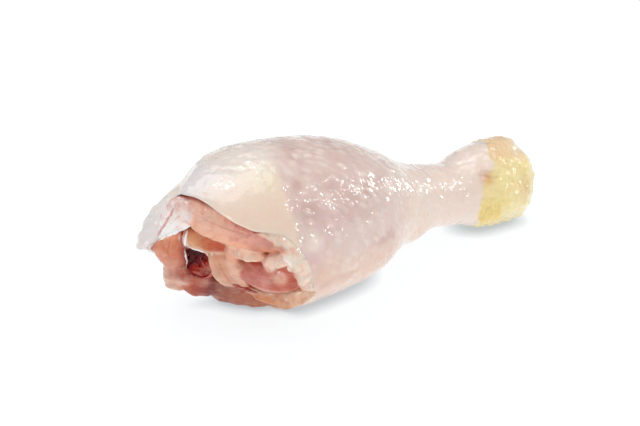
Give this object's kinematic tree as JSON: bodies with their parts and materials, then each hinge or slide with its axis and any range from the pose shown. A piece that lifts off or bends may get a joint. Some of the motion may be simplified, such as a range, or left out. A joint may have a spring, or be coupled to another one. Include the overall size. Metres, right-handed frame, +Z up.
{
  "type": "raw chicken drumstick",
  "caption": "Raw chicken drumstick with pale pink skin, cut slantwise at the knee so that bone, marrow, muscle and fat show, and with a yellow scaly hock end.",
  "frame": {"origin": "on the floor, under the middle of the leg's box", "axes": "+X along the leg from the cut knee end to the hock, +Z up, -Y the side that the knee cut faces"},
  "size_m": [0.1428, 0.0544, 0.0546],
  "materials": {
    "skin": "raw skin, wet, pale cream and pink",
    "scaly_skin": "raw scaly skin, wet, yellow",
    "bone": "sawn bone, off-white",
    "marrow": "marrow, wet, dark red",
    "muscle": "raw muscle, wet, salmon pink",
    "fat": "soft fat, wet, cream",
    "cartilage": "cartilage, wet, tan",
    "sheath": "connective sheath, wet, white"
  },
  "bodies": {
    "root": {"skin": "skin", "hock_skin": "scaly_skin", "bone": "bone", "marrow": "marrow", "flesh": "muscle", "knee_cartilage": "cartilage", "bone_cartilage": "cartilage", "fat_stem": "fat", "fat_roll_inner": "fat", "fat_roll_outer": "fat", "fat_lip": "fat", "fat_seam": "fat", "joint_fat": "fat", "sheath": "sheath", "top_muscle": "muscle", "shin_muscle": "muscle", "calf_muscle": "muscle", "sole_muscle": "muscle", "heel_muscle": "muscle"}
  },
  "joints": []
}
